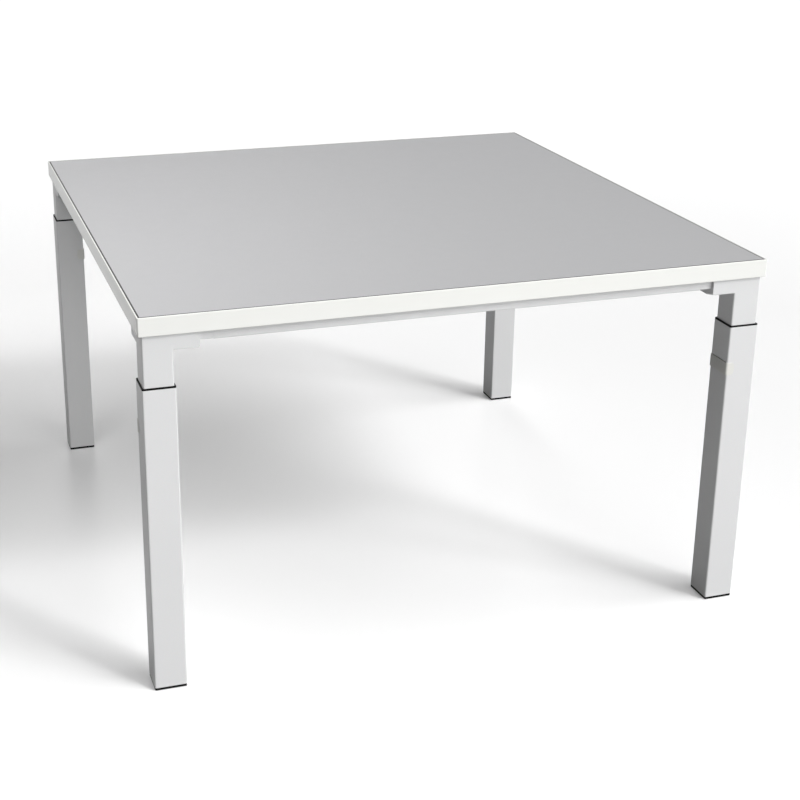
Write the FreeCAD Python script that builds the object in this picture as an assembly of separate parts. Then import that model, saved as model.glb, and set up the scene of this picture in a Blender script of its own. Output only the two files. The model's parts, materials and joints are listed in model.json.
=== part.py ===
import FreeCAD, Part
import os
from FreeCAD import Vector

# Square four-legged work table whose legs telescope.  Millimetres, +Z up, X to the right, Y to the back.
# The origin is on the floor under the middle of the table top.  The model stands at its rest setting.

# ---- table top ----
TOP_LENGTH = 1200.0         # along X, over the edge bands
TOP_DEPTH = 1200.0          # along Y, over the edge bands
REST_HEIGHT = 720.0         # floor to writing surface at the rest setting
CORE_THICKNESS = 32.0       # particle board
LAMINATE_THICKNESS = 1.0    # high-pressure laminate, above and below the core
LAMINATE_BEVEL_WIDTH = 1.8  # trimmed edge that lays the dark laminate core open
LAMINATE_BEVEL_DEPTH = 0.9
BAND_THICKNESS = 2.5        # edge band around the board
BAND_CORNER_RADIUS = 2.5
BAND_EDGE_RADIUS = 1.0

# ---- legs ----
TUBE_WIDTH = 60.0           # outer leg tube, square
TUBE_WALL = 2.0
TUBE_CORNER_RADIUS = 3.0
TUBE_RIM_CHAMFER = 0.6
TUBE_INSET = 4.0            # outer tube's face behind the edge of the top
SLIDE_GAP = 1.0             # between the outer tube's inside and the column, each side
COLUMN_WALL = 2.5
COLUMN_CORNER_RADIUS = 3.0
COLUMN_ENGAGEMENT = 283.0   # column inside the outer tube at the rest setting
COLUMN_SHOWN = 65.0         # between the head's arms and the collar at the rest setting
RAISE = 100.0               # travel above the rest setting
LOWER = 55.0                # travel below the rest setting; the arms' belly would stop the collar
GUIDE_CLEARANCE = 0.15      # plastic guides to the metal that slides on them

# ---- collar on the outer tube's mouth ----
COLLAR_FLANGE = 3.0
COLLAR_SET_BACK = 0.3       # flange edge behind the tube's face
COLLAR_SKIRT = 28.0
COLLAR_RIM_CHAMFER = 0.5

# ---- slider in the column's lower end ----
SLIDER_FLANGE = 10.0
SLIDER_PLUG = 36.0
SLIDER_WALL = 3.0

# ---- cast head that joins a column, two rails and the top ----
ARM_LENGTH = 46.0           # beyond the column's face
ARM_HEIGHT = 30.0           # at its outer face
ARM_NOSE_RADIUS = 4.5       # lower edge at the arm's end
ARM_OUTER_EDGE_RADIUS = 1.5
ARM_INNER_EDGE_RADIUS = 9.0
ARM_BELLY = 6.0             # the underside drops this far behind the outer face
ARM_BELLY_RUN = 27.0        # over this width
HEAD_WALL = 4.0
HEAD_BOSS_RADIUS = 9.0
SPIGOT_LENGTH = 50.0        # down into the column
SPIGOT_CLEARANCE = 0.2
SPIGOT_POCKET_WIDTH = 34.0
SPIGOT_POCKET_ROOF = 14.0
RAIL_SHOULDER = 26.0        # stub between arm and rail
RAIL_SHOULDER_STEP = 0.7    # the rail stands proud of the stub
RAIL_SPIGOT = 30.0          # into the rail

# ---- rails under the top ----
RAIL_WIDTH = 40.0
RAIL_HEIGHT = 20.0
RAIL_WALL = 2.0
RAIL_CORNER_RADIUS = 2.5
RAIL_SCREW_SPACING = 500.0

# ---- fasteners ----
TOP_SCREW_RADIUS = 3.0
TOP_SCREW_HEAD_RADIUS = 5.75
TOP_SCREW_HEAD_HEIGHT = 4.0
TOP_SCREW_SOCKET = 4.0      # across flats
TOP_SCREW_SOCKET_DEPTH = 3.0
TOP_SCREW_BITE = 16.0       # above the board's underside
TOP_SCREW_TIP_ROOM = 2.0    # hole beyond the screw's tip
HEAD_SCREW_SINK = 6.0       # counterbore in the arm's underside
SCREW_ACCESS_RADIUS = 6.75
SCREW_CLEARANCE = 0.3       # clearance holes, on the radius
THREAD_CLEARANCE = 0.05     # threaded holes, on the radius
INSERT_RADIUS = 4.5
INSERT_LENGTH = 14.0
RAIL_BOLT_RADIUS = 2.5
RAIL_BOLT_HEAD_RADIUS = 4.75
RAIL_BOLT_HEAD_HEIGHT = 2.7
RAIL_BOLT_SOCKET = 3.0
RAIL_BOLT_SOCKET_DEPTH = 1.7
RAIL_BOLT_LENGTH = 13.0
TIE_BOLT_RADIUS = 5.0
TIE_BOLT_HEAD_RADIUS = 8.0
TIE_BOLT_HEAD_HEIGHT = 10.0
TIE_BOLT_SINK = 12.0
TIE_BOLT_SOCKET = 8.0
TIE_BOLT_SOCKET_DEPTH = 5.0
TIE_BOLT_TIP = 2.0          # beyond the plate
TIE_PLATE = 8.0             # welded across the column, takes the tie bolt
TIE_PLATE_GAP = 4.0         # pulled tight below the head's spigot

# ---- height clamp on one inner face of each leg ----
CLAMP_DEPTH = 84.0          # clamp screw below the outer tube's mouth
CLAMP_SCREW_RADIUS = 4.0
CLAMP_HEAD_RADIUS = 8.0
CLAMP_HEAD_HEIGHT = 1.1
CLAMP_SOCKET = 5.0
CLAMP_SOCKET_DEPTH = 3.1
CLAMP_TIP = 1.0             # beyond the nut plate
CLAMP_NUT_THICKNESS = 6.0
CLAMP_NUT_WIDTH = 32.0
CLAMP_NUT_HEIGHT = 40.0
CLAMP_NUT_CLEARANCE = 0.05  # nut plate to the column's wall
CLAMP_SLOT_CLEARANCE = 0.6  # screw in the column's slot, on the radius
COVER_HEIGHT = 25.0
COVER_THICKNESS = 1.9
COVER_LIP_THICKNESS = 0.9
COVER_LIP_REACH = 15.0      # around the tube's corners
COVER_LIP_RADIUS = 7.0      # at the lips' ends
COVER_ABOVE_SCREW = 12.0
COVER_EDGE_CHAMFER = 0.4
HOOK_WIDTH = 40.0
HOOK_THICKNESS = 0.8
HOOK_LIP = 5.0
HOOK_CLEARANCE = 0.1
HOOK_SLIT_WIDTH = 50.0
HOOK_SLIT_HEIGHT = 2.2

# ---- foot ----
FOOT_STANDOFF = 0.6         # foot flange above the floor, with the glide screwed home
FOOT_FLANGE = 5.0
FOOT_SET_BACK = 0.6         # flange edge behind the tube's face
FOOT_PLUG_LENGTH = 36.0
FOOT_PLUG_CLEARANCE = 0.2
FOOT_WALL = 3.0
FOOT_FLOOR = 7.0
FOOT_BOSS_RADIUS = 9.0
FOOT_BOSS_HEIGHT = 30.0
GLIDE_RADIUS = 22.0
GLIDE_POCKET_CLEARANCE = 1.0
GLIDE_PAD_THICKNESS = 5.0
GLIDE_POCKET_SPARE = 1.5    # above the pad, screwed home
GLIDE_CHAMFER = 1.0
GLIDE_STUD_RADIUS = 5.0
GLIDE_STUD_LENGTH = 41.0

# ---- places worked out from the sizes above ----
TOP_THICKNESS = CORE_THICKNESS + 2 * LAMINATE_THICKNESS
UNDERSIDE = REST_HEIGHT - TOP_THICKNESS
BOARD_LENGTH = TOP_LENGTH - 2 * BAND_THICKNESS
BOARD_DEPTH = TOP_DEPTH - 2 * BAND_THICKNESS
LEG_X = TOP_LENGTH / 2 - TUBE_INSET - TUBE_WIDTH / 2
LEG_Y = TOP_DEPTH / 2 - TUBE_INSET - TUBE_WIDTH / 2
TUBE_BORE = TUBE_WIDTH - 2 * TUBE_WALL
COLUMN_WIDTH = TUBE_BORE - 2 * SLIDE_GAP
COLUMN_BORE = COLUMN_WIDTH - 2 * COLUMN_WALL
ARM_UNDERSIDE = UNDERSIDE - ARM_HEIGHT
ARM_BELLY_LOW = ARM_UNDERSIDE - ARM_BELLY
COLLAR_TOP = ARM_UNDERSIDE - COLUMN_SHOWN
TUBE_TOP = COLLAR_TOP - COLLAR_FLANGE
TUBE_BOTTOM = FOOT_STANDOFF + FOOT_FLANGE
COLUMN_BOTTOM = TUBE_TOP - COLUMN_ENGAGEMENT
CLAMP_Z = TUBE_TOP - CLAMP_DEPTH
RAIL_BOTTOM = UNDERSIDE - RAIL_HEIGHT
ARM_REACH = COLUMN_WIDTH / 2 + ARM_LENGTH      # column axis to the arm's end
RAIL_START = ARM_REACH + RAIL_SHOULDER         # column axis to the rail's end
ARM_SCREW = COLUMN_WIDTH / 2 + ARM_LENGTH / 2  # column axis to the arm's screw
SPIGOT_BOTTOM = ARM_UNDERSIDE - SPIGOT_LENGTH
TIE_PLATE_TOP = SPIGOT_BOTTOM - TIE_PLATE_GAP
RAIL_BOLT = RAIL_START + RAIL_SPIGOT / 2       # column axis to the rail's bolt

CORNERS = {"front_left": (-1, -1), "front_right": (1, -1), "back_left": (-1, 1), "back_right": (1, 1)}
LEG_TURNS = {"front_right": 0, "back_right": 90, "back_left": 180, "front_left": 270}
UP = Vector(0, 0, 1)
SAME_PLACE = 1e-6           # points and planes this close are one


# ---- shapes that several pieces share ----
def block(x, y, z):
    """A box between the (low, high) pairs x, y and z."""
    return Part.makeBox(x[1] - x[0], y[1] - y[0], z[1] - z[0], Vector(x[0], y[0], z[0]))


def disc(radius, low, high, x=0.0, y=0.0):
    """An upright cylinder between two heights."""
    return Part.makeCylinder(radius, high - low, Vector(x, y, low), UP)


def rounded_face(x_size, y_size, radius, z):
    """A flat rectangle about the Z axis with its four corners rounded."""
    x, y = x_size / 2, y_size / 2
    if radius <= 0:
        return Part.Face(Part.makePolygon([Vector(-x, -y, z), Vector(x, -y, z), Vector(x, y, z),
                                           Vector(-x, y, z), Vector(-x, -y, z)]))
    edges = []
    for k, (sx, sy) in enumerate([(1, 1), (-1, 1), (-1, -1), (1, -1)]):
        centre = Vector(sx * (x - radius), sy * (y - radius), z)
        edges.append(Part.makeCircle(radius, centre, UP, 90 * k, 90 * (k + 1)))
    sides = []
    for this, following in zip(edges, edges[1:] + edges[:1]):
        sides.append(this)
        start, end = this.Vertexes[-1].Point, following.Vertexes[0].Point
        if start.distanceToPoint(end) > SAME_PLACE:
            sides.append(Part.makeLine(start, end))
    return Part.Face(Part.Wire(sides))


def quarter_round(start, end, outward):
    """A quarter circle from start to end that bulges outward; outward is a diagonal of two unit steps."""
    radius = start.distanceToPoint(end) / 2 ** 0.5
    middle = (start + end) * 0.5 + outward * (radius * (1 / 2 ** 0.5 - 0.5))
    return Part.Arc(start, middle, end).toShape()


def prism(x_size, y_size, radius, low, high):
    """An upright prism about the Z axis with rounded corners."""
    return rounded_face(x_size, y_size, radius, low).extrude(Vector(0, 0, high - low))


def edges_at(shape, height):
    """The edges of a shape that lie in the plane z = height."""
    def lies_at(box):
        return abs(box.ZMin - height) < SAME_PLACE and abs(box.ZMax - height) < SAME_PLACE
    return [edge for edge in shape.Edges if lies_at(edge.BoundBox)]


def screw(radius, low, high, head_radius, head_low, head_high):
    """An upright screw: a shank and a round head."""
    return disc(radius, low, high).fuse(disc(head_radius, head_low, head_high)).removeSplitter()


def hex_prism(across_flats, low, high):
    """An upright six-sided prism, for sockets."""
    corner = across_flats / 3 ** 0.5
    points = []
    for k in range(7):
        turn = FreeCAD.Rotation(UP, 60 * k)
        points.append(turn.multVec(Vector(corner, 0, 0)) + Vector(0, 0, low))
    return Part.Face(Part.makePolygon(points)).extrude(Vector(0, 0, high - low))


def moved(shape, x=0.0, y=0.0, z=0.0):
    copy = shape.copy()
    copy.translate(Vector(x, y, z))
    return copy


def turned(shape, axis, angle):
    """A copy turned about an axis through the origin, in degrees."""
    copy = shape.copy()
    copy.rotate(Vector(0, 0, 0), axis, angle)
    return copy


def on_leg(shape, corner):
    """A leg piece made about the Z axis, at its leg; the legs are alike, each turned a quarter from the last."""
    sx, sy = CORNERS[corner]
    return moved(turned(shape, UP, LEG_TURNS[corner]), sx * LEG_X, sy * LEG_Y)


def at_corner(shape, corner):
    """A piece made about the Z axis for the back right leg, mirrored to the corner it is meant for."""
    sx, sy = CORNERS[corner]
    placed = moved(shape, LEG_X, LEG_Y)
    if sx < 0:
        placed = placed.mirror(Vector(0, 0, 0), Vector(1, 0, 0))
    if sy < 0:
        placed = placed.mirror(Vector(0, 0, 0), Vector(0, 1, 0))
    return placed


def swapped(shape):
    """A piece made along X, laid along Y instead, by a mirror in the vertical plane x = y."""
    return shape.mirror(Vector(0, 0, 0), Vector(1, -1, 0))


def save(name, solids):
    shape = solids[0] if len(solids) == 1 else Part.makeCompound(solids)
    shape.exportStep(f"parts/{name}.step")


# ---- where screws enter the top ----
def screw_places():
    """(x, y) of each screw into the top: one per head arm, two per rail."""
    places = []
    for sx, sy in CORNERS.values():
        places.append((sx * (LEG_X - ARM_SCREW), sy * LEG_Y))
        places.append((sx * LEG_X, sy * (LEG_Y - ARM_SCREW)))
    for side in (-1, 1):
        for end in (-1, 1):
            places.append((end * RAIL_SCREW_SPACING / 2, side * LEG_Y))
            places.append((side * LEG_X, end * RAIL_SCREW_SPACING / 2))
    return places


# ---- table top ----
def core_board():
    low = UNDERSIDE + LAMINATE_THICKNESS
    board = prism(BOARD_LENGTH, BOARD_DEPTH, 0, low, low + CORE_THICKNESS)
    pockets = [disc(INSERT_RADIUS, low, low + INSERT_LENGTH, x, y) for x, y in screw_places()]
    tip_room = UNDERSIDE + TOP_SCREW_BITE + TOP_SCREW_TIP_ROOM
    tips = [disc(TOP_SCREW_RADIUS + SCREW_CLEARANCE, low, tip_room, x, y) for x, y in screw_places()]
    return board.cut(Part.makeCompound(pockets)).cut(Part.makeCompound(tips))


def top_laminate():
    bevel_low = REST_HEIGHT - LAMINATE_BEVEL_DEPTH
    sheet = prism(BOARD_LENGTH, BOARD_DEPTH, 0, REST_HEIGHT - LAMINATE_THICKNESS, bevel_low)
    lower = rounded_face(BOARD_LENGTH, BOARD_DEPTH, 0, bevel_low).OuterWire
    upper = rounded_face(BOARD_LENGTH - 2 * LAMINATE_BEVEL_WIDTH, BOARD_DEPTH - 2 * LAMINATE_BEVEL_WIDTH,
                         0, REST_HEIGHT).OuterWire
    return sheet.fuse(Part.makeLoft([lower, upper], True)).removeSplitter()


def backing_laminate():
    sheet = prism(BOARD_LENGTH, BOARD_DEPTH, 0, UNDERSIDE, UNDERSIDE + LAMINATE_THICKNESS)
    holes = [disc(INSERT_RADIUS, UNDERSIDE, UNDERSIDE + LAMINATE_THICKNESS, x, y) for x, y in screw_places()]
    return sheet.cut(Part.makeCompound(holes))


def mitre_wedge(side_length, side_depth):
    """Cuts the band on the back edge out of the ring, along the diagonals of its corners."""
    x, y = side_length / 2, side_depth / 2
    out, back = BAND_THICKNESS, 4 * BAND_THICKNESS
    points = [Vector(-x - out, y + out, UNDERSIDE), Vector(x + out, y + out, UNDERSIDE),
              Vector(x - back, y - back, UNDERSIDE), Vector(-x + back, y - back, UNDERSIDE)]
    return Part.Face(Part.makePolygon(points + points[:1])).extrude(Vector(0, 0, TOP_THICKNESS))


def edge_bands():
    """The ring round the board, cut at its four mitres."""
    ring = prism(TOP_LENGTH, TOP_DEPTH, BAND_CORNER_RADIUS, UNDERSIDE, REST_HEIGHT)
    rims = edges_at(ring, UNDERSIDE) + edges_at(ring, REST_HEIGHT)
    ring = ring.makeFillet(BAND_EDGE_RADIUS, rims)
    ring = ring.cut(prism(BOARD_LENGTH, BOARD_DEPTH, 0, UNDERSIDE, REST_HEIGHT))
    half_turn = 180
    along_x = mitre_wedge(TOP_LENGTH, TOP_DEPTH)
    along_y = swapped(mitre_wedge(TOP_DEPTH, TOP_LENGTH))
    wedges = {"back": along_x, "front": turned(along_x, UP, half_turn),
              "right": along_y, "left": turned(along_y, UP, half_turn)}
    return {name: ring.common(wedge) for name, wedge in wedges.items()}


# ---- rails ----
def rail_section(width, height, radius, start, length):
    """A bar along X from x = start, its top face on the board's underside."""
    bar = turned(prism(height, width, radius, 0, length), Vector(0, 1, 0), 90)
    return moved(bar, start, 0, UNDERSIDE - RAIL_HEIGHT / 2)


def rail(leg_place):
    """A rail along X, in the plane y = 0, for legs at x = +leg_place and -leg_place."""
    half = leg_place - RAIL_START
    tube = rail_section(RAIL_WIDTH, RAIL_HEIGHT, RAIL_CORNER_RADIUS, -half, 2 * half)
    bore = rail_section(RAIL_WIDTH - 2 * RAIL_WALL, RAIL_HEIGHT - 2 * RAIL_WALL,
                        RAIL_CORNER_RADIUS - RAIL_WALL, -half, 2 * half)
    tube = tube.cut(bore)
    holes = []
    for end in (-1, 1):
        x = end * RAIL_SCREW_SPACING / 2
        holes.append(disc(TOP_SCREW_RADIUS + SCREW_CLEARANCE, UNDERSIDE - RAIL_WALL, UNDERSIDE, x))
        holes.append(disc(SCREW_ACCESS_RADIUS, RAIL_BOTTOM, RAIL_BOTTOM + RAIL_WALL, x))
        bolt_x = end * (leg_place - RAIL_BOLT)
        holes.append(disc(RAIL_BOLT_RADIUS + SCREW_CLEARANCE, RAIL_BOTTOM, RAIL_BOTTOM + RAIL_WALL, bolt_x))
    return tube.cut(Part.makeCompound(holes))


# ---- cast head ----
def arm_section():
    """Across the arm: its underside drops from the outer face to a belly, then turns up to the inner face."""
    half = COLUMN_WIDTH / 2
    low, belly, high = ARM_UNDERSIDE, ARM_BELLY_LOW, UNDERSIDE
    inner, outer = ARM_INNER_EDGE_RADIUS, ARM_OUTER_EDGE_RADIUS
    return Part.Wire([
        Part.makeLine(Vector(0, -half, high), Vector(0, -half, belly + inner)),
        quarter_round(Vector(0, -half, belly + inner), Vector(0, -half + inner, belly), Vector(0, -1, -1)),
        Part.makeLine(Vector(0, -half + inner, belly), Vector(0, half - ARM_BELLY_RUN, belly)),
        Part.makeLine(Vector(0, half - ARM_BELLY_RUN, belly), Vector(0, half - outer, low)),
        quarter_round(Vector(0, half - outer, low), Vector(0, half, low + outer), Vector(0, 1, -1)),
        Part.makeLine(Vector(0, half, low + outer), Vector(0, half, high)),
        Part.makeLine(Vector(0, half, high), Vector(0, -half, high)),
    ])


def arm_nose():
    """The arm's end: upright and rounded off below, all along the underside that drops to the belly."""
    half, low, high, radius = COLUMN_WIDTH / 2, ARM_UNDERSIDE, UNDERSIDE + ARM_BELLY, ARM_NOSE_RADIUS
    outline = [Vector(0, half, low), Vector(0, half, high), Vector(-ARM_REACH, half, high),
               Vector(-ARM_REACH, half, low + radius)]
    round_end = Vector(-ARM_REACH + radius, half, low)
    nose = quarter_round(outline[-1], round_end, Vector(-1, 0, -1))
    under = Part.makeLine(round_end, outline[0])
    profile = Part.Face(Part.Wire(Part.makePolygon(outline).Edges + [nose, under]))
    runs = [(ARM_OUTER_EDGE_RADIUS, 0), (ARM_BELLY_RUN - ARM_OUTER_EDGE_RADIUS, ARM_BELLY),
            (COLUMN_WIDTH - ARM_BELLY_RUN, 0)]
    stretches = []
    for run, drop in runs:
        stretches.append(profile.extrude(Vector(0, -run, -drop)))
        profile = moved(profile, 0, -run, -drop)
    return stretches[0].fuse(stretches[1:])


def arm_form():
    """The arm's outside, along -X, with the column's place left free below the head."""
    half = COLUMN_WIDTH / 2
    bar = Part.Face(arm_section()).extrude(Vector(-ARM_REACH, 0, 0))
    column_place = block((-half, half), (-half, half), (ARM_BELLY_LOW, ARM_UNDERSIDE))
    return bar.common(arm_nose()).cut(column_place)


def arm_with_rail_stub():
    shoulder = rail_section(RAIL_WIDTH - 2 * RAIL_SHOULDER_STEP, RAIL_HEIGHT - 2 * RAIL_SHOULDER_STEP,
                            RAIL_CORNER_RADIUS - RAIL_SHOULDER_STEP, -RAIL_START, RAIL_SHOULDER)
    spigot = rail_section(RAIL_WIDTH - 2 * RAIL_WALL - 2 * SPIGOT_CLEARANCE,
                          RAIL_HEIGHT - 2 * RAIL_WALL - 2 * SPIGOT_CLEARANCE,
                          RAIL_CORNER_RADIUS - RAIL_WALL, -RAIL_START - RAIL_SPIGOT, RAIL_SPIGOT)
    return arm_form().fuse(shoulder).fuse(spigot)


def arm_hollow():
    """What is cast open in an arm: its pocket from above round the screw boss, and the screw's hole."""
    half = COLUMN_WIDTH / 2
    pocket = block((-ARM_REACH + HEAD_WALL, -half - HEAD_WALL / 2), (-half + HEAD_WALL, half - HEAD_WALL),
                   (ARM_UNDERSIDE + HEAD_WALL, UNDERSIDE))
    boss = disc(HEAD_BOSS_RADIUS, ARM_UNDERSIDE, UNDERSIDE, -ARM_SCREW)
    hole = disc(TOP_SCREW_RADIUS + SCREW_CLEARANCE, ARM_BELLY_LOW, UNDERSIDE, -ARM_SCREW)
    sink = disc(SCREW_ACCESS_RADIUS, ARM_BELLY_LOW, ARM_UNDERSIDE + HEAD_SCREW_SINK, -ARM_SCREW)
    bolt = disc(RAIL_BOLT_RADIUS + THREAD_CLEARANCE, RAIL_BOTTOM, UNDERSIDE - RAIL_WALL, -RAIL_BOLT)
    return Part.makeCompound([pocket.cut(boss)]), Part.makeCompound([hole, sink, bolt])


def leg_head():
    body = prism(COLUMN_WIDTH, COLUMN_WIDTH, COLUMN_CORNER_RADIUS, ARM_UNDERSIDE, UNDERSIDE)
    along_x = arm_with_rail_stub()
    body = body.fuse(along_x).fuse(swapped(along_x)).removeSplitter()
    keep_round = block((0, COLUMN_WIDTH), (0, COLUMN_WIDTH), (ARM_UNDERSIDE, UNDERSIDE))
    corner = prism(COLUMN_WIDTH, COLUMN_WIDTH, COLUMN_CORNER_RADIUS, ARM_UNDERSIDE, UNDERSIDE)
    body = body.cut(keep_round.cut(corner))
    width = COLUMN_BORE - 2 * SPIGOT_CLEARANCE
    spigot = prism(width, width, 0, SPIGOT_BOTTOM, ARM_UNDERSIDE)
    pocket = prism(SPIGOT_POCKET_WIDTH, SPIGOT_POCKET_WIDTH, HEAD_WALL, SPIGOT_BOTTOM,
                   ARM_UNDERSIDE - SPIGOT_POCKET_ROOF)
    body = body.fuse(spigot.cut(pocket))
    hollow, holes = arm_hollow()
    for cast_open in (hollow, holes):
        body = body.cut(cast_open).cut(swapped(cast_open))
    tie = disc(TIE_BOLT_RADIUS + SCREW_CLEARANCE, SPIGOT_BOTTOM, UNDERSIDE)
    sink = disc(TIE_BOLT_HEAD_RADIUS + SCREW_CLEARANCE, UNDERSIDE - TIE_BOLT_SINK, UNDERSIDE)
    return body.cut(tie).cut(sink).removeSplitter()


# ---- column ----
def inner_column():
    tube = prism(COLUMN_WIDTH, COLUMN_WIDTH, COLUMN_CORNER_RADIUS, COLUMN_BOTTOM, ARM_UNDERSIDE)
    bore = prism(COLUMN_BORE, COLUMN_BORE, COLUMN_CORNER_RADIUS - COLUMN_WALL, COLUMN_BOTTOM, ARM_UNDERSIDE)
    tube = tube.cut(bore)
    plate = prism(COLUMN_BORE, COLUMN_BORE, COLUMN_CORNER_RADIUS - COLUMN_WALL,
                  TIE_PLATE_TOP - TIE_PLATE, TIE_PLATE_TOP)
    plate = plate.cut(disc(TIE_BOLT_RADIUS + THREAD_CLEARANCE, TIE_PLATE_TOP - TIE_PLATE, TIE_PLATE_TOP))
    tube = tube.fuse(plate)
    radius = CLAMP_SCREW_RADIUS + CLAMP_SLOT_CLEARANCE
    face = rounded_face(RAISE + LOWER + 2 * radius, 2 * radius, radius, 0)
    slot = turned(face.extrude(Vector(0, 0, 2 * COLUMN_WALL)), Vector(0, 1, 0), 90)
    middle = CLAMP_Z + (LOWER - RAISE) / 2
    slot = moved(slot, -COLUMN_WIDTH / 2 - COLUMN_WALL / 2, 0, middle)
    return tube.cut(slot)


def column_slider():
    flange_width = TUBE_BORE - 2 * GUIDE_CLEARANCE
    flange = prism(flange_width, flange_width, TUBE_CORNER_RADIUS - TUBE_WALL,
                   COLUMN_BOTTOM - SLIDER_FLANGE, COLUMN_BOTTOM)
    plug_width = COLUMN_BORE - 2 * GUIDE_CLEARANCE
    plug = prism(plug_width, plug_width, 0, COLUMN_BOTTOM, COLUMN_BOTTOM + SLIDER_PLUG)
    hollow_width = plug_width - 2 * SLIDER_WALL
    hollow = prism(hollow_width, hollow_width, SLIDER_WALL, COLUMN_BOTTOM - SLIDER_FLANGE,
                   COLUMN_BOTTOM + SLIDER_PLUG)
    return flange.fuse(plug).removeSplitter().cut(hollow)


# ---- outer leg ----
def outer_tube():
    tube = prism(TUBE_WIDTH, TUBE_WIDTH, TUBE_CORNER_RADIUS, TUBE_BOTTOM, TUBE_TOP)
    tube = tube.makeChamfer(TUBE_RIM_CHAMFER, edges_at(tube, TUBE_TOP))
    tube = tube.cut(prism(TUBE_BORE, TUBE_BORE, TUBE_CORNER_RADIUS - TUBE_WALL, TUBE_BOTTOM, TUBE_TOP))
    face_x = -TUBE_WIDTH / 2
    hole = Part.makeCylinder(CLAMP_SCREW_RADIUS + SCREW_CLEARANCE, 2 * TUBE_WALL,
                             Vector(face_x - TUBE_WALL / 2, 0, CLAMP_Z), Vector(1, 0, 0))
    slit_low = CLAMP_Z + COVER_ABOVE_SCREW - HOOK_THICKNESS - 2 * HOOK_CLEARANCE
    slit_half = HOOK_SLIT_WIDTH / 2
    slit = block((face_x - TUBE_WALL / 2, face_x + 1.5 * TUBE_WALL), (-slit_half, slit_half),
                 (slit_low, slit_low + HOOK_SLIT_HEIGHT))
    return tube.cut(hole).cut(slit)


def collar():
    flange_width = TUBE_WIDTH - 2 * COLLAR_SET_BACK
    flange = prism(flange_width, flange_width, TUBE_CORNER_RADIUS - COLLAR_SET_BACK, TUBE_TOP, COLLAR_TOP)
    flange = flange.makeChamfer(COLLAR_RIM_CHAMFER, edges_at(flange, COLLAR_TOP))
    skirt_width = TUBE_BORE - 2 * HOOK_CLEARANCE
    skirt = prism(skirt_width, skirt_width, TUBE_CORNER_RADIUS - TUBE_WALL, TUBE_TOP - COLLAR_SKIRT, TUBE_TOP)
    way = COLUMN_WIDTH + 2 * GUIDE_CLEARANCE
    opening = prism(way, way, COLUMN_CORNER_RADIUS, TUBE_TOP - COLLAR_SKIRT, COLLAR_TOP)
    return flange.fuse(skirt).removeSplitter().cut(opening)


def foot_plug():
    top = TUBE_BOTTOM + FOOT_PLUG_LENGTH
    flange_width = TUBE_WIDTH - 2 * FOOT_SET_BACK
    flange = prism(flange_width, flange_width, TUBE_CORNER_RADIUS - FOOT_SET_BACK,
                   FOOT_STANDOFF, TUBE_BOTTOM)
    plug_width = TUBE_BORE - 2 * FOOT_PLUG_CLEARANCE
    plug = prism(plug_width, plug_width, TUBE_CORNER_RADIUS - TUBE_WALL, TUBE_BOTTOM, top)
    hollow_width = plug_width - 2 * FOOT_WALL
    hollow = prism(hollow_width, hollow_width, FOOT_WALL, TUBE_BOTTOM + FOOT_FLOOR, top)
    rib_end = (plug_width - FOOT_WALL) / 2
    boss_top = TUBE_BOTTOM + FOOT_BOSS_HEIGHT
    rib = block((-rib_end, rib_end), (-FOOT_WALL / 2, FOOT_WALL / 2), (TUBE_BOTTOM, boss_top))
    boss = disc(FOOT_BOSS_RADIUS, TUBE_BOTTOM, boss_top)
    body = flange.fuse(plug.cut(hollow)).fuse(rib).fuse(swapped(rib)).fuse(boss)
    pocket = disc(GLIDE_RADIUS + GLIDE_POCKET_CLEARANCE, 0, GLIDE_PAD_THICKNESS + GLIDE_POCKET_SPARE)
    bore = disc(GLIDE_STUD_RADIUS + THREAD_CLEARANCE, 0, boss_top)
    return body.cut(pocket).cut(bore).removeSplitter()


def glide():
    pad = disc(GLIDE_RADIUS, 0, GLIDE_PAD_THICKNESS)
    pad = pad.makeChamfer(GLIDE_CHAMFER, edges_at(pad, 0))
    stud = disc(GLIDE_STUD_RADIUS, GLIDE_PAD_THICKNESS, GLIDE_PAD_THICKNESS + GLIDE_STUD_LENGTH)
    return pad.fuse(stud)


# ---- height clamp, on the face that looks along -X before the leg is turned ----
def clamp_screw():
    """A wafer-head screw through the tube wall and the column's slot into the nut plate."""
    face_x = -TUBE_WIDTH / 2
    tip = TUBE_WALL + SLIDE_GAP + COLUMN_WALL + CLAMP_NUT_CLEARANCE + CLAMP_NUT_THICKNESS + CLAMP_TIP
    upright = screw(CLAMP_SCREW_RADIUS - THREAD_CLEARANCE, 0, tip, CLAMP_HEAD_RADIUS, -CLAMP_HEAD_HEIGHT, 0)
    socket = hex_prism(CLAMP_SOCKET, -CLAMP_HEAD_HEIGHT, CLAMP_SOCKET_DEPTH - CLAMP_HEAD_HEIGHT)
    upright = upright.cut(socket)
    return moved(turned(upright, Vector(0, 1, 0), 90), face_x, 0, CLAMP_Z)


def clamp_nut():
    start = -COLUMN_BORE / 2 + CLAMP_NUT_CLEARANCE
    plate = block((start, start + CLAMP_NUT_THICKNESS), (-CLAMP_NUT_WIDTH / 2, CLAMP_NUT_WIDTH / 2),
                  (CLAMP_Z - CLAMP_NUT_HEIGHT / 2, CLAMP_Z + CLAMP_NUT_HEIGHT / 2))
    hole = Part.makeCylinder(CLAMP_SCREW_RADIUS, CLAMP_NUT_THICKNESS, Vector(start, 0, CLAMP_Z),
                             Vector(1, 0, 0))
    return plate.cut(hole)


def cover_outline(low, high):
    """The cover seen along Y: it reaches round the tube's corners to two rounded ends."""
    far = -TUBE_WIDTH / 2 + COVER_LIP_REACH
    length = 2 * (COVER_LIP_REACH + COVER_THICKNESS)
    face = turned(rounded_face(length, high - low, COVER_LIP_RADIUS, 0), Vector(1, 0, 0), 90)
    return moved(face, far - length / 2, TUBE_WIDTH, (low + high) / 2).extrude(Vector(0, -2 * TUBE_WIDTH, 0))


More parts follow.
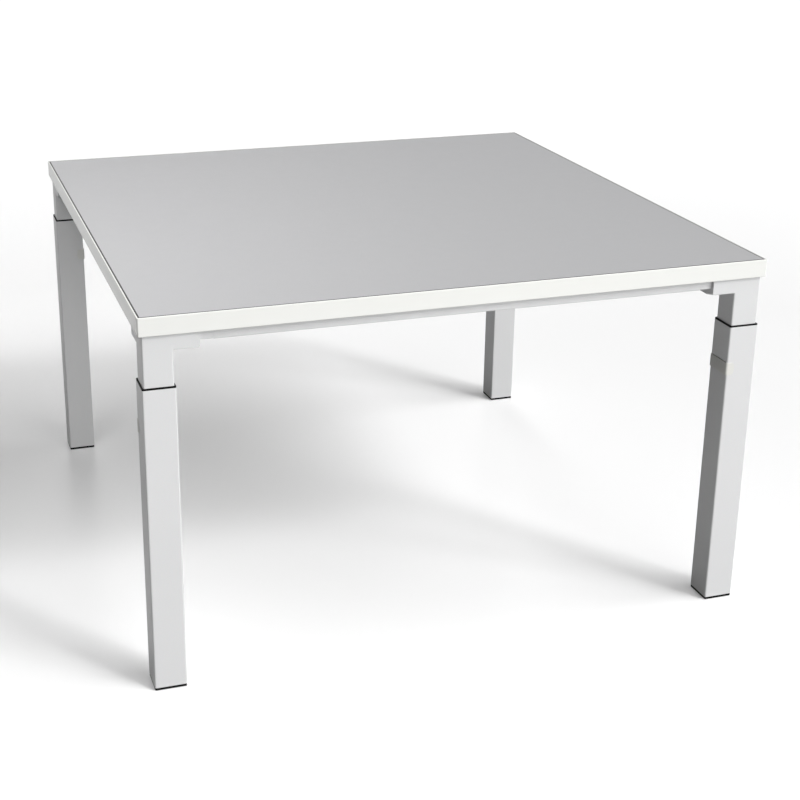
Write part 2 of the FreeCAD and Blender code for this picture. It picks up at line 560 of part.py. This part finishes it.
def clamp_cover():
    """A clip over the clamp screw: lips round the tube's corners and a hook through the tube's slit."""
    face_x = -TUBE_WIDTH / 2
    top = CLAMP_Z + COVER_ABOVE_SCREW
    low = top - COVER_HEIGHT
    shell = prism(TUBE_WIDTH + 2 * COVER_THICKNESS, TUBE_WIDTH + 2 * COVER_LIP_THICKNESS,
                  TUBE_CORNER_RADIUS + COVER_LIP_THICKNESS, low, top)
    shell = shell.makeChamfer(COVER_EDGE_CHAMFER, edges_at(shell, top) + edges_at(shell, low))
    clip = shell.common(cover_outline(low, top))
    clip = clip.common(block((face_x - COVER_THICKNESS, 0), (-TUBE_WIDTH, TUBE_WIDTH), (low, top)))
    clip = clip.cut(prism(TUBE_WIDTH, TUBE_WIDTH, TUBE_CORNER_RADIUS, low, top))
    pocket = Part.makeCylinder(CLAMP_HEAD_RADIUS + SCREW_CLEARANCE, CLAMP_HEAD_HEIGHT + HOOK_CLEARANCE,
                               Vector(face_x, 0, CLAMP_Z), Vector(-1, 0, 0))
    clip = clip.cut(pocket)
    hook_high = top - HOOK_CLEARANCE
    hook_low = hook_high - HOOK_THICKNESS
    lip_x = face_x + TUBE_WALL + HOOK_CLEARANCE / 2
    hook_end = lip_x + HOOK_THICKNESS
    width = (-HOOK_WIDTH / 2, HOOK_WIDTH / 2)
    tongue = block((face_x - COVER_THICKNESS / 2, hook_end), width, (hook_low, hook_high))
    lip = block((lip_x, hook_end), width, (hook_low, hook_high + HOOK_LIP))
    return clip.fuse(tongue).fuse(lip).removeSplitter()


# ---- fasteners that share a node ----
def top_screws():
    tip = UNDERSIDE + TOP_SCREW_BITE
    arm_seat = ARM_UNDERSIDE + HEAD_SCREW_SINK
    rail_seat = UNDERSIDE - RAIL_WALL
    solids = []
    for k, (x, y) in enumerate(screw_places()):
        seat = arm_seat if k < 2 * len(CORNERS) else rail_seat
        head_low = seat - TOP_SCREW_HEAD_HEIGHT
        one = screw(TOP_SCREW_RADIUS, seat, tip, TOP_SCREW_HEAD_RADIUS, head_low, seat)
        one = one.cut(hex_prism(TOP_SCREW_SOCKET, head_low, head_low + TOP_SCREW_SOCKET_DEPTH))
        solids.append(moved(one, x, y))
    return solids


def threaded_inserts():
    low = UNDERSIDE + LAMINATE_THICKNESS
    sleeve = disc(INSERT_RADIUS, low, low + INSERT_LENGTH)
    sleeve = sleeve.cut(disc(TOP_SCREW_RADIUS + THREAD_CLEARANCE, low, low + INSERT_LENGTH))
    return [moved(sleeve, x, y) for x, y in screw_places()]


def tie_bolts():
    seat = UNDERSIDE - TIE_BOLT_SINK
    head_top = seat + TIE_BOLT_HEAD_HEIGHT
    tip = TIE_PLATE_TOP - TIE_PLATE - TIE_BOLT_TIP
    one = screw(TIE_BOLT_RADIUS, tip, seat, TIE_BOLT_HEAD_RADIUS, seat, head_top)
    one = one.cut(hex_prism(TIE_BOLT_SOCKET, head_top - TIE_BOLT_SOCKET_DEPTH, head_top))
    return [at_corner(one, corner) for corner in CORNERS]


def rail_bolts():
    head_low = RAIL_BOTTOM - RAIL_BOLT_HEAD_HEIGHT
    one = screw(RAIL_BOLT_RADIUS, RAIL_BOTTOM, RAIL_BOTTOM + RAIL_BOLT_LENGTH, RAIL_BOLT_HEAD_RADIUS,
                head_low, RAIL_BOTTOM)
    one = one.cut(hex_prism(RAIL_BOLT_SOCKET, head_low, head_low + RAIL_BOLT_SOCKET_DEPTH))
    along_x = moved(one, -RAIL_BOLT)
    return [at_corner(bolt, corner) for corner in CORNERS for bolt in (along_x, swapped(along_x))]


def main():
    os.makedirs("parts", exist_ok=True)
    save("top_core", [core_board()])
    save("top_laminate", [top_laminate()])
    save("backing_laminate", [backing_laminate()])
    for name, band in edge_bands().items():
        save(f"edge_band_{name}", band.Solids)
    along_x, along_y = rail(LEG_X), swapped(rail(LEG_Y))
    save("rail_front", [moved(along_x, 0, -LEG_Y)])
    save("rail_back", [moved(along_x, 0, LEG_Y)])
    save("rail_left", [moved(along_y, -LEG_X)])
    save("rail_right", [moved(along_y, LEG_X)])
    head = leg_head()
    leg_pieces = {"inner_column": inner_column(), "column_slider": column_slider(),
                  "outer_tube": outer_tube(), "collar": collar(), "foot_plug": foot_plug(), "glide": glide(),
                  "clamp_screw": clamp_screw(), "clamp_nut": clamp_nut(), "clamp_cover": clamp_cover()}
    for corner in CORNERS:
        save(f"leg_head_{corner}", at_corner(head, corner).Solids)
        for piece, shape in leg_pieces.items():
            save(f"{piece}_{corner}", on_leg(shape, corner).Solids)
    save("top_screws", top_screws())
    save("threaded_inserts", threaded_inserts())
    save("tie_bolts", tie_bolts())
    save("rail_bolts", rail_bolts())


main()
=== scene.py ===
import json
import math

import bmesh
import bpy
from mathutils import Matrix, Vector


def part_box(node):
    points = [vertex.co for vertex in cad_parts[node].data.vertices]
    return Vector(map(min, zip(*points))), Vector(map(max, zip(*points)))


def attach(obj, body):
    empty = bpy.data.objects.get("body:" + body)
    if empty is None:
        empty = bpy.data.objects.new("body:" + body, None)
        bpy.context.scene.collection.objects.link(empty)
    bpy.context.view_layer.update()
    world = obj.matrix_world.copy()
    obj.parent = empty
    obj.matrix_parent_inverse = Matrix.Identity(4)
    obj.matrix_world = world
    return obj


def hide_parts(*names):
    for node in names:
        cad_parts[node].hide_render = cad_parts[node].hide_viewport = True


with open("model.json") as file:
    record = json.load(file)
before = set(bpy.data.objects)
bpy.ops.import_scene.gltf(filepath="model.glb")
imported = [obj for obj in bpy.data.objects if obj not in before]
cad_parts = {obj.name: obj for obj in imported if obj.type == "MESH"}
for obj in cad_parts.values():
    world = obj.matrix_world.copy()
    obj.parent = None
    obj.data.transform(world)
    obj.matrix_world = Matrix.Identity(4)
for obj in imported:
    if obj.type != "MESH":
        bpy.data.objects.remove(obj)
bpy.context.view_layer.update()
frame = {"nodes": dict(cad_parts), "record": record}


class Value:
    # one output of a node; sums and products on it add Math nodes

    def __init__(self, tree, socket):
        self.tree = tree
        self.socket = socket

    def maths(self, operation, first, second=0.0):
        return self.tree.node("ShaderNodeMath", {"operation": operation}, {0: first, 1: second})

    def __add__(self, other):
        return self.maths("ADD", self, other)

    def __radd__(self, other):
        return self.maths("ADD", other, self)

    def __sub__(self, other):
        return self.maths("SUBTRACT", self, other)

    def __rsub__(self, other):
        return self.maths("SUBTRACT", other, self)

    def __mul__(self, other):
        return self.maths("MULTIPLY", self, other)

    def __rmul__(self, other):
        return self.maths("MULTIPLY", other, self)

    def __truediv__(self, other):
        return self.maths("DIVIDE", self, other)

    def __rtruediv__(self, other):
        return self.maths("DIVIDE", other, self)

    def __gt__(self, other):
        return self.maths("GREATER_THAN", self, other)

    def __lt__(self, other):  # Python asks for this one on 1 > mask
        return self.maths("LESS_THAN", self, other)

    def larger(self, other):
        return self.maths("MAXIMUM", self, other)

    def size(self):
        return self.maths("ABSOLUTE", self)

    def root(self):
        return self.maths("SQRT", self)


class Tree:
    # a node tree; every node gets its settings first, then the values or links of its inputs

    def __init__(self, tree):
        self.tree = tree

    def node(self, kind, settings=None, inputs=None, output=0):
        made = self.tree.nodes.new(kind)
        for name, value in (settings or {}).items():
            if name == "stops":
                self.setStops(made.color_ramp, value)
            else:
                setattr(made, name, value)
        for name, value in (inputs or {}).items():
            for one in value if isinstance(value, list) else [value]:
                if isinstance(one, Value):
                    self.tree.links.new(one.socket, made.inputs[name])
                else:
                    made.inputs[name].default_value = one
        if isinstance(output, tuple):
            return [Value(self, made.outputs[one]) for one in output]
        return Value(self, made.outputs[output]) if len(made.outputs) else None

    def setStops(self, ramp, stops):
        while len(ramp.elements) < len(stops):
            ramp.elements.new(1.0)
        for element, (place, colour) in zip(ramp.elements, stops):
            element.position = place
            element.color = colour


class Finish(Tree):
    # a material, with the textures that its surface needs

    def __init__(self, name):
        self.material = bpy.data.materials.new(name)
        self.material.use_nodes = True
        super().__init__(self.material.node_tree)
        self.tree.nodes.clear()
        self.place = self.node("ShaderNodeTexCoord", output="Object")

    def noise(self, scale, detail=2.0, roughness=0.5):
        return self.node("ShaderNodeTexNoise", {}, {"Vector": self.place, "Scale": scale,
                                                    "Detail": detail, "Roughness": roughness})

    def cells(self, scale, feature="F1", output="Color"):
        return self.node("ShaderNodeTexVoronoi", {"feature": feature},
                         {"Vector": self.place, "Scale": scale}, output)

    def blend(self, factor, first, second):  # a Mix node's names repeat, its numbers don't
        return self.node("ShaderNodeMix", {"data_type": "RGBA"}, {0: factor, 6: first, 7: second}, 2)

    def ramp(self, factor, stops):
        return self.node("ShaderNodeValToRGB", {"stops": stops}, {"Fac": factor})

    def bump(self, height, depth, strength, below=None):
        inputs = {"Height": height, "Distance": depth, "Strength": strength}
        if below:
            inputs["Normal"] = below
        return self.node("ShaderNodeBump", {}, inputs)

    def unevenGloss(self, spec):
        # roughness that wanders up from its lowest value
        return spec["roughness"] + self.noise(**spec["smears"]) * spec["unevenness"]

    def fineGrain(self, spec, below=None):
        return self.bump(self.noise(**spec["grain"]), spec["grainDepth"], spec["grainStrength"], below)

    def surface(self, **inputs):
        names = {"colour": "Base Color", "roughness": "Roughness", "metallic": "Metallic",
                 "shine": "Specular IOR Level", "normal": "Normal"}
        shader = self.node("ShaderNodeBsdfPrincipled", {}, {names[k]: v for k, v in inputs.items()})
        self.node("ShaderNodeOutputMaterial", {}, {"Surface": shader})
        return self.material


def grey(level, tint=0.0):
    # a near-neutral colour; a positive tint is warm
    return (level * (1 + tint), level, level * (1 - tint), 1.0)


def shade(tone, shares):
    # a tone with its own share of red, green and blue
    return (*(tone * share for share in shares), 1.0)


# scales of clouds, smears and grain are in features a metre, depths are in metres
silver = {
    "tone": 0.625, "darker": 0.985, "darkerTint": -0.006, "lighter": 1.015, "lighterTint": -0.002,
    "clouds": {"scale": 7.0, "detail": 3.0}, "flakes": 1820.0, "flakeShare": 0.035, "metallic": 0.12,
    "roughness": 0.39, "unevenness": 0.06, "smears": {"scale": 21.0},
    "peel": {"scale": 420.0, "detail": 1.0}, "peelDepth": 0.00008, "peelStrength": 0.5,
    "grain": {"scale": 2600.0}, "grainDepth": 0.00003, "grainStrength": 0.6,
}
casting = {**silver, "grainDepth": 0.00005}  # a coarser skin under the same paint


def flakePaint(name, spec):
    # powder coat with aluminium flake: orange peel, a fine grain and faint clouds of tone
    f = Finish(name)
    base = f.blend(f.noise(**spec["clouds"]),
                   grey(spec["tone"] * spec["darker"], spec["darkerTint"]),
                   grey(spec["tone"] * spec["lighter"], spec["lighterTint"]))
    colour = f.blend(spec["flakeShare"], base, f.cells(spec["flakes"]))
    peel = f.bump(f.noise(**spec["peel"]), spec["peelDepth"], spec["peelStrength"])
    return f.surface(colour=colour, roughness=f.unevenGloss(spec), metallic=spec["metallic"],
                     normal=f.fineGrain(spec, peel))


laminate = {
    "tone": 0.355, "darker": (0.976, 0.976, 1.0), "lighter": (1.01, 1.01, 1.03),
    "clouds": {"scale": 3.0, "detail": 4.0, "roughness": 0.6},
    "speck": (1.08, 1.08, 1.1), "specks": {"scale": 900.0, "detail": 3.0, "roughness": 0.7},
    "speckFrom": 0.42, "speckTo": 0.62, "coreLine": 0.0031, "coreTone": 0.02, "coreTint": 0.08,
    "shine": 0.25, "roughness": 0.42, "unevenness": 0.06, "smears": {"scale": 40.0, "detail": 3.0},
    "grain": {"scale": 1300.0}, "grainDepth": 0.00003, "grainStrength": 0.5,
}


def greyLaminate(name, spec):
    # a fine grey speckle, and the dark core of the sheet laid open along its trimmed edge
    f = Finish(name)
    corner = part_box("top_laminate")[1]
    x, y = f.node("ShaderNodeSeparateXYZ", {}, {0: f.place}, ("X", "Y"))
    onEdge = (x.size() > corner.x - spec["coreLine"]).larger(y.size() > corner.y - spec["coreLine"])
    darker, lighter, speck = (shade(spec["tone"], spec[key]) for key in ("darker", "lighter", "speck"))
    field = f.blend(f.noise(**spec["clouds"]), darker, lighter)
    inSpeck = f.ramp(f.noise(**spec["specks"]),
                     [(spec["speckFrom"], grey(0.0)), (spec["speckTo"], grey(1.0))])
    colour = f.blend(onEdge, f.blend(inSpeck, field, speck), grey(spec["coreTone"], spec["coreTint"]))
    return f.surface(colour=colour, roughness=f.unevenGloss(spec), shine=spec["shine"],
                     normal=f.fineGrain(spec))


board = {
    "chips": 330.0, "glue": (0.20, 0.12, 0.06, 1.0), "glueWidth": 0.06,
    "browns": [(0.0, (0.36, 0.22, 0.11, 1.0)), (0.5, (0.55, 0.38, 0.22, 1.0)),
               (1.0, (0.72, 0.55, 0.36, 1.0))],
    "roughness": 0.85, "gapDepth": 0.0004, "gapStrength": 0.6,
}


def particleBoard(name, spec):
    # pressed chips of several browns with dark glue between them
    f = Finish(name)
    gap = f.cells(spec["chips"], "DISTANCE_TO_EDGE", "Distance")
    inGlue = f.ramp(gap, [(0.0, grey(1.0)), (spec["glueWidth"], grey(0.0))])
    colour = f.blend(inGlue, f.ramp(f.cells(spec["chips"]), spec["browns"]), spec["glue"])
    return f.surface(colour=colour, roughness=spec["roughness"],
                     normal=f.bump(gap, spec["gapDepth"], spec["gapStrength"]))


whiteBand = {  # a moulded edge strip, smooth enough to mirror at a low angle
    "darker": (0.712, 0.716, 0.692, 1.0), "lighter": (0.730, 0.734, 0.706, 1.0),
    "clouds": {"scale": 9.0}, "metallic": 0.0, "shine": 0.5,
    "roughness": 0.16, "unevenness": 0.05, "smears": {"scale": 60.0},
    "grain": {"scale": 500.0, "detail": 1.0}, "grainDepth": 0.00003, "grainStrength": 0.4,
}
backingSheet = {
    "darker": grey(0.60), "lighter": grey(0.66, 0.01),
    "clouds": {"scale": 400.0, "detail": 3.0}, "metallic": 0.0, "shine": 0.5,
    "roughness": 0.6, "unevenness": 0.1, "smears": {"scale": 30.0},
    "grain": {"scale": 1600.0}, "grainDepth": 0.00004, "grainStrength": 0.5,
}
blackPlastic = {
    "darker": grey(0.003), "lighter": grey(0.006),
    "clouds": {"scale": 25.0}, "metallic": 0.0, "shine": 0.1,
    "roughness": 0.5, "unevenness": 0.12, "smears": {"scale": 90.0},
    "grain": {"scale": 1800.0}, "grainDepth": 0.00005, "grainStrength": 0.6,
}
coverPlastic = {
    "darker": (0.62, 0.62, 0.59, 1.0), "lighter": (0.65, 0.65, 0.62, 1.0),
    "clouds": {"scale": 30.0}, "metallic": 0.0, "shine": 0.5,
    "roughness": 0.34, "unevenness": 0.08, "smears": {"scale": 120.0},
    "grain": {"scale": 1500.0}, "grainDepth": 0.00003, "grainStrength": 0.5,
}
zincSteel = {
    "darker": (0.50, 0.51, 0.53, 1.0), "lighter": (0.64, 0.65, 0.66, 1.0),
    "clouds": {"scale": 220.0, "detail": 3.0}, "metallic": 1.0, "shine": 0.5,
    "roughness": 0.26, "unevenness": 0.16, "smears": {"scale": 500.0},
    "grain": {"scale": 900.0}, "grainDepth": 0.00004, "grainStrength": 0.4,
}


def plainFinish(name, spec):
    # two close tones in soft clouds, an uneven gloss and a fine grain
    f = Finish(name)
    return f.surface(colour=f.blend(f.noise(**spec["clouds"]), spec["darker"], spec["lighter"]),
                     roughness=f.unevenGloss(spec), metallic=spec["metallic"], shine=spec["shine"],
                     normal=f.fineGrain(spec))


finishes = {
    "silver_paint": flakePaint("silverPaint", silver),
    "silver_casting": flakePaint("silverCasting", casting),
    "grey_laminate": greyLaminate("greyLaminate", laminate),
    "white_edge": plainFinish("whiteBand", whiteBand),
    "backing_sheet": plainFinish("backingSheet", backingSheet),
    "particle_board": particleBoard("particleBoard", board),
    "black_plastic": plainFinish("blackPlastic", blackPlastic),
    "light_cover": plainFinish("coverPlastic", coverPlastic),
    "zinc_steel": plainFinish("zincSteel", zincSteel),
}
for part in frame["record"]["subparts"]:
    mesh = frame["nodes"][part["node"]].data
    mesh.materials.clear()
    mesh.materials.append(finishes[part["material_slot"]])
print("finishes:", len(finishes))


def newObject(name, data):
    made = bpy.data.objects.new(name, data)
    bpy.context.scene.collection.objects.link(made)
    return made


class Pattern(Tree):
    # a geometry tree with named sizes, which sets a copy of one shape on each point of a mesh

    def __init__(self, name, sizes):
        super().__init__(bpy.data.node_groups.new(name, "GeometryNodeTree"))
        kinds = {"Places": "NodeSocketGeometry", **dict.fromkeys(sizes, "NodeSocketFloat"),
                 "Finish": "NodeSocketMaterial"}
        sockets = self.tree.interface
        for label, kind in kinds.items():
            sockets.new_socket(label, in_out="INPUT", socket_type=kind)
        self.keys = {item.name: item.identifier for item in sockets.items_tree}
        sockets.new_socket("Copies", in_out="OUTPUT", socket_type="NodeSocketGeometry")
        self.given = dict(zip(kinds, self.node("NodeGroupInput", output=tuple(kinds))))

    def along(self, x=0.0, y=0.0, z=0.0):
        return self.node("ShaderNodeCombineXYZ", {}, {"X": x, "Y": y, "Z": z})

    def shifted(self, shape, z):
        return self.node("GeometryNodeTransform", {},
                         {"Geometry": shape, "Translation": self.along(z=z)})

    def rod(self, sides, radius, length, steps=1):
        return self.node("GeometryNodeMeshCylinder", {},
                         {"Vertices": sides, "Side Segments": steps, "Radius": radius,
                          "Depth": length}, "Mesh")

    def close(self, shape):
        copies = self.node("GeometryNodeInstanceOnPoints", {},
                           {"Points": self.given["Places"], "Instance": shape})
        solid = self.node("GeometryNodeRealizeInstances", {}, {"Geometry": copies})
        finished = self.node("GeometryNodeSetMaterial", {},
                             {"Geometry": solid, "Material": self.given["Finish"]})
        self.node("NodeGroupOutput", {}, {"Copies": finished})

    def fill(self, name, places, sizes, finish):
        # the copies at the given places as one plain mesh
        mesh = bpy.data.meshes.new(name + "Places")
        mesh.from_pydata(places, [], [])
        carrier = newObject(name + "Places", mesh)
        modifier = carrier.modifiers.new("pattern", "NODES")
        modifier.node_group = self.tree
        for label, value in sizes.items():
            modifier[self.keys[label]] = value
        modifier[self.keys["Finish"]] = finish
        seen = carrier.evaluated_get(bpy.context.evaluated_depsgraph_get())
        made = bpy.data.meshes.new_from_object(seen)
        carrier.modifiers.remove(modifier)
        bpy.data.objects.remove(carrier)
        return made


topScrew = {"shank radius": 0.003, "shank length": 0.018, "head radius": 0.00575,
            "head height": 0.004, "head round": 0.0016, "socket width": 0.004,
            "socket depth": 0.003, "pitch": 0.0015}
railBolt = {"shank radius": 0.0025, "shank length": 0.013, "head radius": 0.00475,
            "head height": 0.0027, "head round": 0.002, "socket width": 0.003,
            "socket depth": 0.0017, "pitch": 0.0008}
screwForm = {"headSides": 36, "rimSteps": 8, "socketSides": 6, "coreSides": 20, "turnSteps": 16,
             "ridgeSides": 3, "ridgeShare": 0.4}  # the share is of the pitch


def screwPattern():
    # an upright screw: the head below z = 0, its rim rounded and a hexagon socket in its face,
    # and the threaded shank above
    g = Pattern("screw", topScrew)
    size = g.given
    deep, rim, length, pitch = (size[key] for key in ("head height", "head round", "shank length",
                                                      "pitch"))
    blank = g.shifted(g.rod(screwForm["headSides"], size["head radius"], deep,
                            screwForm["rimSteps"]), 0.0 - deep / 2)
    spot = g.node("GeometryNodeInputPosition")
    x, y, z = g.node("ShaderNodeSeparateXYZ", {}, {0: spot}, ("X", "Y", "Z"))
    turn = ((rim - deep - z) / rim).larger(0.0)  # 0 where the head is straight, 1 at its face
    pull = 1 - (1 - (1 - turn * turn).larger(0.0).root()) * rim / size["head radius"]
    head = g.node("GeometryNodeSetPosition", {},
                  {"Geometry": blank, "Position": g.along(x * pull, y * pull, z)})
    corner = size["socket width"] / math.sqrt(3)  # the width is across the flats
    socket = g.shifted(g.rod(screwForm["socketSides"], corner, size["socket depth"] * 2), 0.0 - deep)
    driven = g.node("GeometryNodeMeshBoolean", {"operation": "DIFFERENCE", "solver": "EXACT"},
                    {"Mesh 1": head, "Mesh 2": socket}, "Mesh")
    ridge = pitch * screwForm["ridgeShare"]
    coreRadius = size["shank radius"] - ridge
    core = g.shifted(g.rod(screwForm["coreSides"], coreRadius, length), length / 2)
    path = g.node("GeometryNodeCurveSpiral", {}, {
        "Resolution": screwForm["turnSteps"], "Rotations": length / pitch - 1,
        "Height": length - pitch, "Start Radius": coreRadius, "End Radius": coreRadius})
    profile = g.node("GeometryNodeCurvePrimitiveCircle", {"mode": "RADIUS"},
                     {"Resolution": screwForm["ridgeSides"], "Radius": ridge}, "Curve")
    thread = g.node("GeometryNodeCurveToMesh", {},
                    {"Curve": path, "Profile Curve": profile, "Fill Caps": True})
    g.close(g.node("GeometryNodeJoinGeometry", {},
                   {"Geometry": [driven, core, g.shifted(thread, pitch / 2)]}))
    return g


solidSplit = {"weld": 0.000001, "lengthDigits": 4}  # metres, and decimals of a metre


def looseParts(node):
    # (middle x, middle y, lowest z, highest z) of each separate solid of a CAD node
    bm = bmesh.new()
    bm.from_mesh(frame["nodes"][node].data)
    bmesh.ops.remove_doubles(bm, verts=bm.verts, dist=solidSplit["weld"])
    found, left = [], set(bm.verts)
    while left:
        island, front = set(), [left.pop()]
        while front:
            vert = front.pop()
            island.add(vert)
            near = {edge.other_vert(vert) for edge in vert.link_edges} & left
            left -= near
            front.extend(near)
        xs, ys, zs = zip(*(vert.co for vert in island))
        found.append(((min(xs) + max(xs)) / 2, (min(ys) + max(ys)) / 2, min(zs), max(zs)))
    bm.free()
    return sorted(found)


def makeScrews(name, node, spec, pattern):
    # screws of one size and one or more lengths, in the places of the CAD node's solids
    lengths = {}
    for x, y, low, high in looseParts(node):
        seat = low + spec["head height"]
        length = round(high - seat, solidSplit["lengthDigits"])
        lengths.setdefault(length, []).append((x, y, seat))
    whole = bmesh.new()
    for length, places in sorted(lengths.items()):
        sizes = {**spec, "shank length": length}
        whole.from_mesh(pattern.fill(name, places, sizes, finishes["zinc_steel"]))
    bmesh.ops.recalc_face_normals(whole, faces=whole.faces)
    mesh = bpy.data.meshes.new(name)
    whole.to_mesh(mesh)
    whole.free()
    mesh.materials.append(finishes["zinc_steel"])
    piece = newObject(name, mesh)
    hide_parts(node)
    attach(piece, "table_top")
    print(name + ":", {length: len(places) for length, places in lengths.items()},
          "faces", len(mesh.polygons))


screwShape = screwPattern()
makeScrews("topScrews", "top_screws", topScrew, screwShape)
makeScrews("railBolts", "rail_bolts", railBolt, screwShape)

floor = {"reach": 30.0, "seenTone": 0.97, "bounceTone": 0.14, "gloss": 0.2, "shine": 0.15,
         "lift": 0.12, "glow": 1.08, "whiteFrom": 2.0, "whiteOver": 2.5}


def seenDirectly(tree):
    # 1 for the camera, mirrors and glass, 0 for diffuse light
    camera, glossy, clear = tree.node("ShaderNodeLightPath", output=(
        "Is Camera Ray", "Is Glossy Ray", "Is Transmission Ray"))
    return camera.larger(glossy.larger(clear))


def makeFloor():
    # white to the eye, with the table's shadow, and darker to diffuse light, so that it doesn't
    # wash the shaded sides
    bm = bmesh.new()
    bmesh.ops.create_grid(bm, x_segments=1, y_segments=1, size=floor["reach"])
    mesh = bpy.data.meshes.new("studioFloor")
    bm.to_mesh(mesh)
    bm.free()
    f = Finish("studioFloor")
    seen = seenDirectly(f)
    colour = f.blend(seen, grey(floor["bounceTone"]), grey(floor["seenTone"]))
    matt = f.node("ShaderNodeBsdfPrincipled", {}, {
        "Base Color": colour, "Roughness": floor["gloss"], "Specular IOR Level": floor["shine"]})
    glow = f.node("ShaderNodeEmission", {}, {"Color": grey(1.0), "Strength": floor["glow"]})
    x, y = f.node("ShaderNodeSeparateXYZ", {}, {0: f.place}, ("X", "Y"))
    away = (((x * x + y * y).root() - floor["whiteFrom"]) / floor["whiteOver"]).larger(0.0)
    far = 1 - (1 - away).larger(0.0)  # 0 under and around the table, 1 where no shadow falls
    lift = floor["lift"] + far * (1.0 - floor["lift"])
    both = f.node("ShaderNodeMixShader", {}, {0: seen * lift, 1: matt, 2: glow})
    f.node("ShaderNodeOutputMaterial", {}, {"Surface": both})
    mesh.materials.append(f.material)
    return newObject("studioFloor", mesh)


def makeWorld():
    # white where it is seen, and no light from it on the table
    world = bpy.data.worlds.new("studio")
    world.use_nodes = True
    world.node_tree.nodes.clear()
    t = Tree(world.node_tree)
    back = t.node("ShaderNodeBackground", {}, {"Color": grey(1.0), "Strength": seenDirectly(t)})
    t.node("ShaderNodeOutputWorld", {}, {"Surface": back})
    bpy.context.scene.world = world


def direction(turn, height):
    # from the table outwards: degrees from the front round to the right, and degrees up
    turn, height = math.radians(turn), math.radians(height)
    return Vector((math.sin(turn) * math.cos(height), -math.cos(turn) * math.cos(height),
                   math.sin(height)))


suns = {  # a low sun that is mirrored would show as a white sheet on the top
    "keyLight": {"fromRight": 72.0, "height": 46.0, "softness": 34.0, "strength": 1.4,
                 "mirrored": True},
    "lowKey": {"fromRight": 45.0, "height": 34.0, "softness": 20.0, "strength": 1.6,
               "mirrored": False},
    "sharpKey": {"fromRight": 36.0, "height": 42.0, "softness": 9.0, "strength": 0.55,
                 "mirrored": False},
    "frontFill": {"fromRight": 25.0, "height": 7.0, "softness": 34.0, "strength": 1.45,
                  "mirrored": False},
    "backFill": {"fromRight": 172.0, "height": 6.0, "softness": 20.0, "strength": 2.7,
                 "mirrored": False},
}
sunDistance = 5.0  # only where its icon stands


def makeSun(name, spec):
    lamp = bpy.data.lights.new(name, "SUN")
    lamp.energy = spec["strength"]
    lamp.angle = math.radians(spec["softness"])
    made = newObject(name, lamp)
    toLamp = direction(spec["fromRight"], spec["height"])
    made.rotation_euler = toLamp.to_track_quat("Z", "Y").to_euler()
    made.location = toLamp * sunDistance
    made.visible_glossy = spec["mirrored"]


softBoxes = {  # close enough to the table that what they light fades with distance
    "sideBox": {"place": (-1.04, -0.39, 1.86), "aim": (-0.53, -0.16, 0.7), "size": 0.93,
                "power": 10.0, "mirrored": True},
    "frontBox": {"place": (0.5, -2.4, 1.3), "aim": (0.0, -0.6, 0.6), "size": 1.4,
                 "power": 15.5, "mirrored": False},
}


def makeSoftBox(name, spec):
    lamp = bpy.data.lights.new(name, "AREA")
    lamp.size = spec["size"]
    lamp.energy = spec["power"]
    made = newObject(name, lamp)
    made.location = spec["place"]
    toBox = Vector(spec["place"]) - Vector(spec["aim"])
    made.rotation_euler = toBox.to_track_quat("Z", "Y").to_euler()
    made.visible_camera = False
    made.visible_glossy = spec["mirrored"]


view = {"place": (-0.98335, -2.97268, 1.53867), "turn": -18.06, "tilt": 19.76, "roll": 0.44,
        "lens": 68.10, "sensor": 36.0, "shift": (0.05, -0.075)}


def makeCamera():
    camera = bpy.data.cameras.new("camera")
    camera.lens = view["lens"]
    camera.sensor_width = view["sensor"]
    camera.shift_x, camera.shift_y = view["shift"]
    made = newObject("camera", camera)
    back = direction(view["turn"], view["tilt"])
    right = Vector((0, 0, 1)).cross(back).normalized()
    straight = Matrix((right, back.cross(right), back)).transposed()
    rolled = straight @ Matrix.Rotation(math.radians(view["roll"]), 3, "Z")
    made.matrix_world = Matrix.Translation(view["place"]) @ rolled.to_4x4()
    bpy.context.scene.camera = made


makeFloor()
makeWorld()
for sunName, sunSpec in suns.items():
    makeSun(sunName, sunSpec)
for boxName, boxSpec in softBoxes.items():
    makeSoftBox(boxName, boxSpec)
makeCamera()
bpy.context.scene.view_settings.view_transform = "Standard"
print("studio ready")
